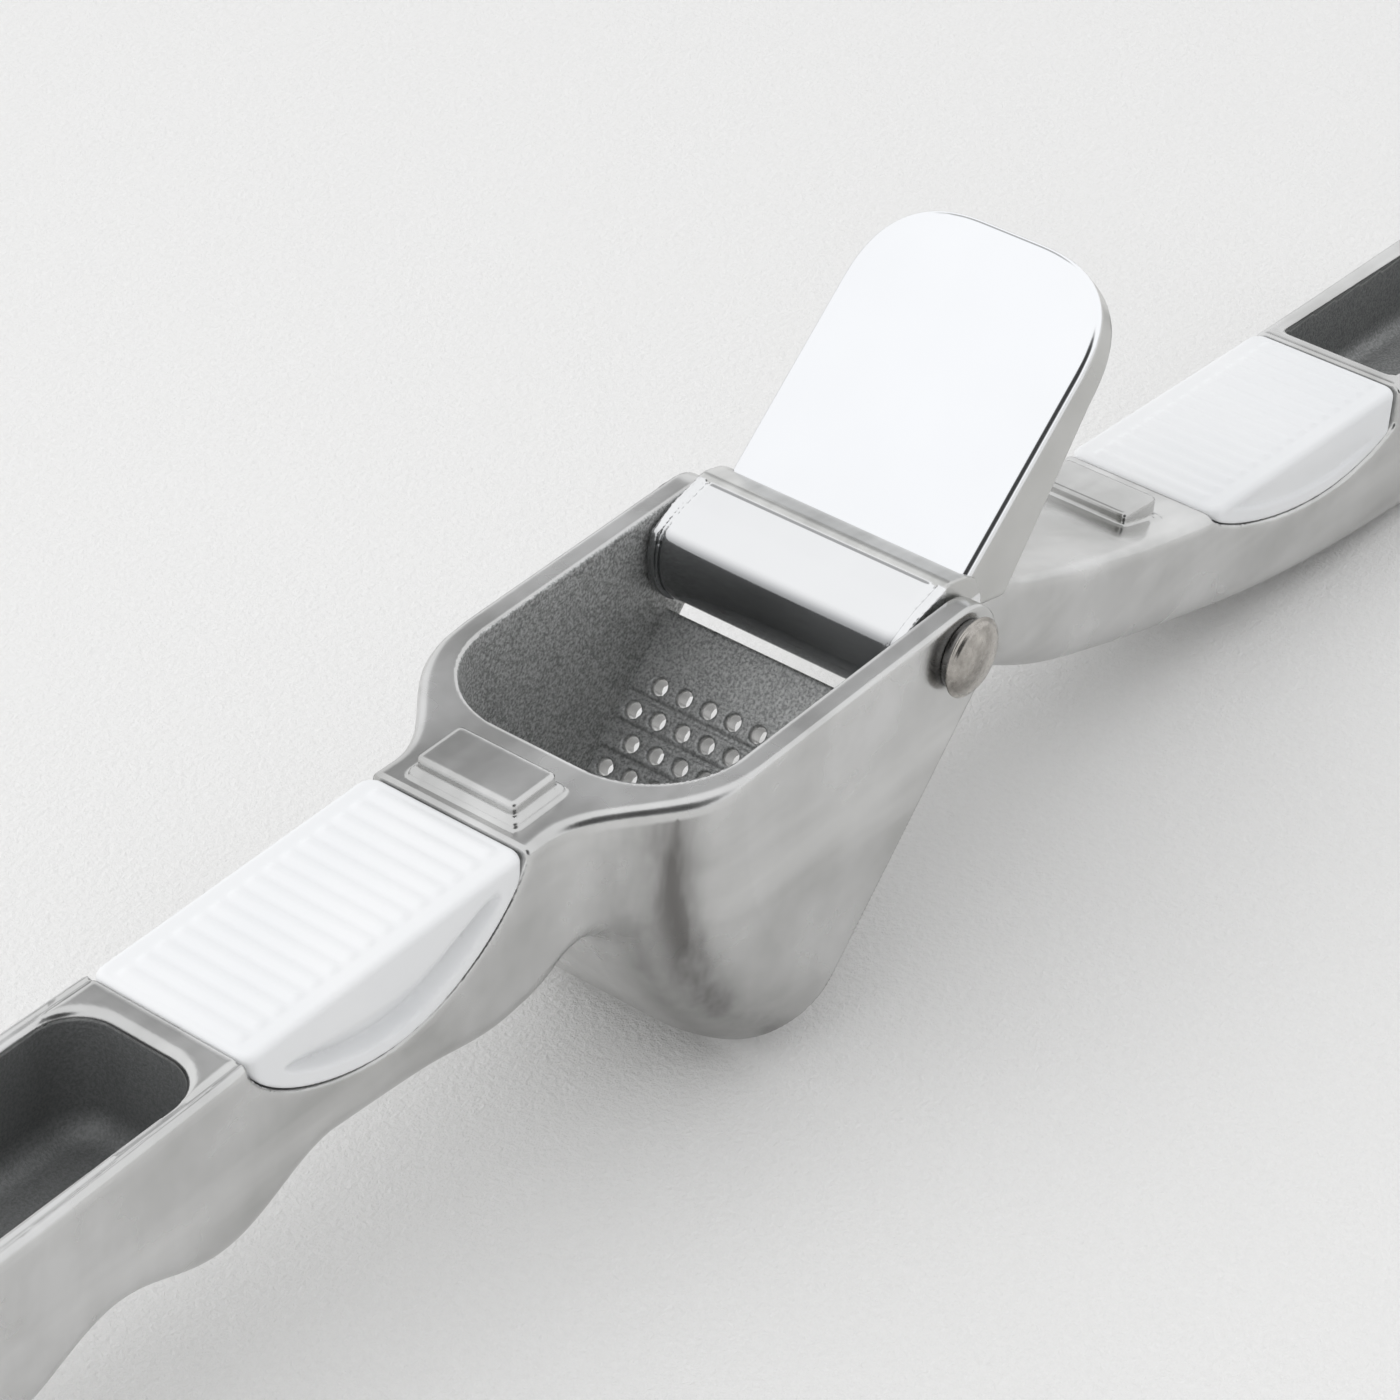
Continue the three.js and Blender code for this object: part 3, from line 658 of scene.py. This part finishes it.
def polished_alloy(name, base, rough):
    n = Nodes(name)
    satin = n.attribute("satin")
    cloud = n.noise(40, 3, rough=0.5)
    wipe = n.noise(90, 3, stretch=(0.3, 1.0, 0.3), distortion=0.4)
    fine = n.noise(1500, 2)
    tone = n.mix(n.ramp(cloud, 0.3, 0.7), base, tuple(min(1, c * 1.05) for c in base))
    lines = n.ramp(n.noise(300, 3, stretch=(0.15, 1, 0.15)), 0.35, 0.65)
    brushed = n.mix(lines, (0.52, 0.52, 0.505), (0.66, 0.66, 0.645))
    tone = n.mix(satin, tone, brushed)
    # painted reflection: the attribute darkens the lower half of the barrel to dark grey, standing in for a
    # dark reflection
    n.set("Base Color", n.mix(n.attribute("painted_shade_and_reflection"), tone, (0.30, 0.305, 0.31)))
    n.set("Metallic", 1.0)
    gloss = n.ramp(wipe, 0.35, 0.7, rough, rough + 0.05)
    n.set("Roughness", n.math("ADD", gloss, n.math("MULTIPLY", satin, 0.16)))
    n.set("Normal", n.bump(fine, 0.10, 0.00002))
    return n.material


def tumbled_steel(name, low, high):
    n = Nodes(name)
    cloud = n.noise(220, 4, rough=0.65)
    speck = n.noise(900, 3, rough=0.7)
    n.set("Base Color", n.mix(n.ramp(cloud, 0.35, 0.65), low, high))
    n.set("Metallic", 1.0)
    n.set("Roughness", n.ramp(speck, 0.35, 0.7, 0.18, 0.34))
    n.set("Normal", n.bump(speck, 0.25, 0.00006))
    return n.material


def white_plastic():
    n = Nodes("satin_white_plastic")
    cloud = n.noise(60, 3)
    grain = n.noise(2200, 2)
    n.set("Base Color", n.mix(n.ramp(cloud, 0.3, 0.7), (0.80, 0.81, 0.82), (0.84, 0.845, 0.85)))
    n.set("Metallic", 0.0)
    n.set("Roughness", n.ramp(cloud, 0.3, 0.7, 0.40, 0.48))
    n.set("Normal", n.bump(grain, 0.12, 0.00003))
    return n.material


ALLOY = satin_alloy()
MIRROR = polished_alloy("polished_tile", (0.86, 0.87, 0.885), 0.10)
HEEL_METAL = polished_alloy("polished_barrel", (0.80, 0.805, 0.81), 0.11)
STEEL = tumbled_steel("tumbled_steel", (0.26, 0.245, 0.225), (0.60, 0.57, 0.53))
# the washers are coloured near black: partly dark steel, partly painted shade for the gap under the rivet
# heads
DARK_STEEL_PAINTED_SHADE = tumbled_steel("dark_washer_steel_painted_shade", (0.08, 0.078, 0.075), (0.20, 0.195, 0.19))
PLASTIC = white_plastic()

# ------------------------------------------------------------------ pieces
STEP = 0.34


def hopper_attributes(p):
    x, y, z = p.T
    ay = np.abs(y)
    inner = rounded_rect(np.hypot(x, z), ay, HOPPER_R_IN, CHEEK_IN, CORNER_IN)
    inside = (inner < 0.06) & (z < RIM_Z - 0.12)
    along = (x < POCKET["from"] + 0.4) & (x > POCKET["to"] - 0.4)
    pocket = along & (ay < POCKET["half"] + 0.1) & (z < RIM_Z - 1.0) & (z > POCKET["floor"] - 0.2)
    # painted reflection: a dark streak painted down the outer corners of the end wall, standing in for the
    # dark reflections there
    past_cheek = ay - CHEEK_OUT + CORNER_OUT
    past_wall = np.hypot(x, z) - HOPPER_R_OUT + CORNER_OUT
    turn = np.degrees(np.arctan2(past_cheek, past_wall))
    corner = (past_cheek > 0) & (past_wall > 0) & (x < -20) & (z < 3.0)
    bands = np.exp(-(((turn - 48) / 13) ** 2)) * 0.8 + np.exp(-(((turn - 24) / 8) ** 2)) * 0.35 + 0.08
    streak = bands * corner * ~inside
    # painted shade: the pocket is painted darker, standing in for the shade in the recess
    return {"blasted": (inside | pocket) * 1.0, "painted_shade_and_reflection": pocket * 0.85, "streak": streak}


def build_hopper():
    xs = grid((HANDLE_END - 0.8, 0.55), (-92, 0.5), (-50, STEP), (6.4, STEP))
    ys = mirrored(grid((0, STEP), (CHEEK_OUT + 0.7, STEP)))
    zs = grid((-36.5, STEP), (7.3, STEP))
    points, quads = surface_net(hopper_field, xs, ys, zs)
    nodes = ["hopper_arm"]
    add_piece(
        "hopper_casting", to_part(points), quads, ALLOY, "hopper_side", nodes,
        hopper_attributes(points),
    )
    alongs = grid((7.2, 0.25), (43, 0.25))
    outs = grid((2.9, 0.22), (6.5, 0.22))
    ys = mirrored(grid((0, 0.25), (CHEEK_IN + 0.9, 0.25)))
    points, quads = surface_net(sieve_field, alongs, ys, outs)
    # painted shade: the sieve's inner face is painted darker, standing in for the shade deep in the hopper
    face = smooth((4.4 - points[:, 2]) / 0.6)
    points = turned(points, SIEVE_ANGLE)
    add_piece(
        "hopper_sieve", to_part(points), quads, ALLOY, "hopper_side", nodes,
        {"blasted": face, "painted_shade_and_reflection": 0.35 * face},
    )


def build_lever():
    xs = grid((2.6, STEP), (60, 0.5), (LEVER_END + 1, 0.5))
    ys = mirrored(grid((0, 0.36), (14.6, 0.36)))
    zs = grid((-42, 0.38), (3.4, 0.38))
    points, quads = surface_net(lever_field, xs, ys, zs)
    x, y, z = points.T
    sunk = lever_top_z(x) - z
    slot = (np.abs(y) < SLOT["half"] + 0.05) & (x > SLOT["from"] - 1.0) & (x < SLOT["to"] + 0.5)
    slot = slot & (sunk > 0.8) & (sunk < SLOT["floor"] + 0.3)
    nodes = ["lever_arm"]
    # painted shade: the slot is painted darker, standing in for the shade in the recess
    add_piece(
        "lever_casting", to_part(points), quads, ALLOY, "lever_side", nodes,
        {"blasted": slot * 1.0, "painted_shade_and_reflection": slot * 0.7},
    )
    xs = grid((-7.4, 0.24), (7.4, 0.24))
    ys = mirrored(grid((0, 0.3), (12.6, 0.2), (14.9, 0.2)))
    zs = grid((-7.4, 0.24), (7.4, 0.24))
    points, quads = surface_net(barrel_field, xs, ys, zs)
    strip = (points[:, 0] > 0.9) & (points[:, 2] > 2.0)
    # painted reflection: the lower half is painted darker, standing in for a dark reflection
    add_piece(
        "lever_barrel", to_part(points), quads, HEEL_METAL, "lever_side", nodes,
        {"satin": strip * 1.0, "painted_shade_and_reflection": smooth((3.5 - points[:, 2]) / 1.0) * (points[:, 0] < 2)},
    )
    xs = grid((2.2, 0.4), (39, 0.4))
    ys = mirrored(grid((0, 0.36), (14.4, 0.36)))
    zs = grid((-9.3, 0.3), (1.0, 0.3))
    points, quads = surface_net(tile_field, xs, ys, zs)
    side = smooth((TILE_FRONT - 0.75 - points[:, 2]) / 0.3)
    points = turned(points, TILE_ANGLE)
    add_piece(
        "piston_tile", to_part(points), quads, MIRROR, "lever_side", nodes, {"satin": side}
    )


def build_inserts():
    for name, body, spec, under in (
        ("handle_grip", "hopper_side", INSERT_HANDLE, HANDLE_UNDER),
        ("lever_grip", "lever_side", INSERT_LEVER, LEVER_UNDER),
    ):
        us = grid((-0.6, 0.2), (spec["length"] + 0.6, 0.2))
        ys = mirrored(grid((0, 0.3), (spec["half"] - 2, 0.22), (spec["half"] + 0.5, 0.22)))
        ws = grid((-10.6, 0.28), (-0.8, 0.12), (0.8, 0.12))
        points, quads = surface_net(insert_field(spec, under), us, ys, ws, relax=1)
        if body == "hopper_side":
            points[:, 0] = spec["from"] - points[:, 0]
            points[:, 2] += RIM_Z
            quads = quads[:, ::-1]
            node = "handle_insert"
        else:
            points = turned(points, LEVER_SLOPE, spec["from"], float(lever_top_z(spec["from"])))
            node = "lever_insert"
        add_piece(name, to_part(points), quads, PLASTIC, body, [node])


def lathe_y(profile, around=96):
    """Turns a closed (radius, y) profile about the hinge axis."""
    n = len(profile)
    angles = 2 * math.pi * np.arange(around) / around
    r = np.array([p[0] for p in profile])
    y = np.array([p[1] for p in profile])
    points = np.stack(
        [
            (r[None, :] * np.cos(angles)[:, None]).ravel(),
            np.broadcast_to(y, (around, n)).ravel(),
            (r[None, :] * np.sin(angles)[:, None]).ravel(),
        ],
        1,
    )
    quads = []
    for i in range(around):
        j = (i + 1) % around
        for k in range(n):
            m = (k + 1) % n
            quads.append((i * n + k, i * n + m, j * n + m, j * n + k))
    return points, np.array(quads)


def head_profile():
    """Rivet head from its seat outwards: a low ring, a chamfer and a shallow dome. y counts outwards."""
    dome = [(r, 1.2 - 0.62 * (r / 3.45) ** 2.4) for r in np.linspace(3.45, 0.02, 14)]
    ring = [(3.9, 0.0), (3.95, 0.06), (3.95, 0.16), (3.88, 0.24)]
    chamfer = [(3.68, 0.3), (3.6, 0.34), (3.56, 0.42)]
    return ring + chamfer + dome


def build_pin():
    head = [(r, -HEAD_SEAT - y) for r, y in head_profile()]
    stem = [(0.02, PIN_TIP), (1.9, PIN_TIP), (2.1, PIN_TIP - 0.2), (2.1, -HEAD_SEAT)]
    points, quads = lathe_y(head + stem)
    add_piece("pin", to_part(points), quads, STEEL, "hopper_side", ["pivot_pin"])
    dome = [(r, FAR_SEAT + 0.25 + 0.58 * math.sqrt(1 - (r / 2.9) ** 2)) for r in np.linspace(2.88, 0.02, 14)]
    cap = [(2.95, FAR_SEAT), (3.0, FAR_SEAT + 0.06), (3.0, FAR_SEAT + 0.16), (2.93, FAR_SEAT + 0.23)] + dome
    cap += [(0.02, FAR_SEAT + 0.55), (2.35, FAR_SEAT + 0.55), (2.35, FAR_SEAT)]
    points, quads = lathe_y(cap)
    add_piece("pin_far_head", to_part(points), quads[:, ::-1], STEEL, "hopper_side", ["pin_cap"])
    for name, side, seat in (("near_washer", -1, HEAD_SEAT), ("far_washer", 1, FAR_SEAT)):
        inner = CHEEK_OUT + 0.02
        outer = seat - 0.02
        ring = [(2.45, inner), (3.3, inner), (3.4, inner + 0.1)]
        ring += [(3.4, outer - 0.1), (3.3, outer), (2.45, outer)]
        points, quads = lathe_y([(r, side * y) for r, y in ring], 64)
        quads = quads if side < 0 else quads[:, ::-1]
        # near-black washer: partly dark steel, partly painted shade in the gap under the head
        add_piece(name + "_ring", to_part(points), quads, DARK_STEEL_PAINTED_SHADE, "hopper_side", [name])


build_hopper()
build_lever()
build_inserts()
build_pin()


# ------------------------------------------------------------------ stage, light and camera
# directions the room is dimmer in: (direction), (from cosine, to cosine, strength outside, inside)
SKY_DIM = (
    ((0.55, 0.48, 0.68), (0.955, 0.997, 1.07, 0.44)),
    ((-0.30, -0.78, 0.50), (0.82, 0.95, 1.0, 0.05)),
)


def stage_floor():
    mesh = bpy.data.meshes.new("floor")
    size = 6.0
    corners = [(-size, -size, 0), (size, -size, 0), (size, size, 0), (-size, size, 0)]
    mesh.from_pydata(corners, [], [(0, 1, 2, 3)])
    floor = bpy.data.objects.new("floor", mesh)
    bpy.context.scene.collection.objects.link(floor)
    n = Nodes("pale_floor")
    paper = n.noise(1300, 4, rough=0.7)
    n.set("Base Color", n.mix(n.ramp(paper, 0.3, 0.7), (0.835, 0.83, 0.82), (0.86, 0.855, 0.845)))
    n.set("Roughness", 0.85)
    n.set("Normal", n.bump(paper, 0.5, 0.0008))
    mesh.materials.append(n.material)


def area_light(name, place, target, width, height, power, colour=(1, 1, 1)):
    data = bpy.data.lights.new(name, "AREA")
    data.shape = "RECTANGLE"
    data.size = width
    data.size_y = height
    data.energy = power
    data.color = colour
    light = bpy.data.objects.new(name, data)
    light.location = place
    light.visible_glossy = False
    light.rotation_euler = (Vector(target) - Vector(place)).to_track_quat("-Z", "Y").to_euler()
    bpy.context.scene.collection.objects.link(light)


def sky():
    """A pale room all round, dimmer high at the back right and dark where the photographer stands."""
    world = bpy.data.worlds.new("studio")
    world.use_nodes = True
    tree = world.node_tree
    background = tree.nodes["Background"]
    direction = tree.nodes.new("ShaderNodeTexCoord").outputs["Generated"]
    strength = None
    for centre, span in SKY_DIM:
        towards = tree.nodes.new("ShaderNodeVectorMath")
        towards.operation = "DOT_PRODUCT"
        tree.links.new(direction, towards.inputs[0])
        towards.inputs[1].default_value = Vector(centre).normalized()
        ramp = tree.nodes.new("ShaderNodeMapRange")
        ramp.interpolation_type = "SMOOTHERSTEP"
        for key, value in zip(("From Min", "From Max", "To Min", "To Max"), span):
            ramp.inputs[key].default_value = value
        tree.links.new(towards.outputs["Value"], ramp.inputs["Value"])
        if strength is None:
            strength = ramp.outputs["Result"]
            continue
        product = tree.nodes.new("ShaderNodeMath")
        product.operation = "MULTIPLY"
        tree.links.new(strength, product.inputs[0])
        tree.links.new(ramp.outputs["Result"], product.inputs[1])
        strength = product.outputs[0]
    tree.links.new(strength, background.inputs["Strength"])
    background.inputs["Color"].default_value = (0.985, 0.99, 1.0, 1)
    bpy.context.scene.world = world


def camera():
    """The photograph's view: a 121 mm lens from the near left, looking down at 34 degrees."""
    centre = np.array([[-283.61, -210.01, 250.97]])
    right = np.array([[0.62329, -0.78194, 0.00874]])
    down = np.array([[-0.46476, -0.37941, -0.80003]])
    look = np.array([[0.62889, 0.49459, -0.59990]])
    tilt = lambda v: Vector(turned(v, REST_TILT)[0])
    x, y, z = tilt(right), -tilt(down), -tilt(look)
    data = bpy.data.cameras.new("photo_view")
    data.lens = 120.86
    data.sensor_width = 36
    data.clip_start = 0.01
    view = bpy.data.objects.new("photo_view", data)
    place = to_part(centre)[0]
    matrix = Matrix.Identity(4)
    for row in range(3):
        for column, axis in enumerate((x, y, z)):
            matrix[row][column] = axis[row]
        matrix[row][3] = place[row]
    view.matrix_world = matrix
    bpy.context.scene.collection.objects.link(view)
    bpy.context.scene.camera = view


stage_floor()
sky()
MIDDLE = (0.0, 0.0, 0.0)
area_light("key", (-0.55, 0.33, 0.55), MIDDLE, 0.8, 0.8, power=1.5)
area_light("fill", (-0.50, -0.85, 0.60), MIDDLE, 1.0, 1.0, power=1.3)
camera()
bpy.context.scene.view_settings.view_transform = "Standard"
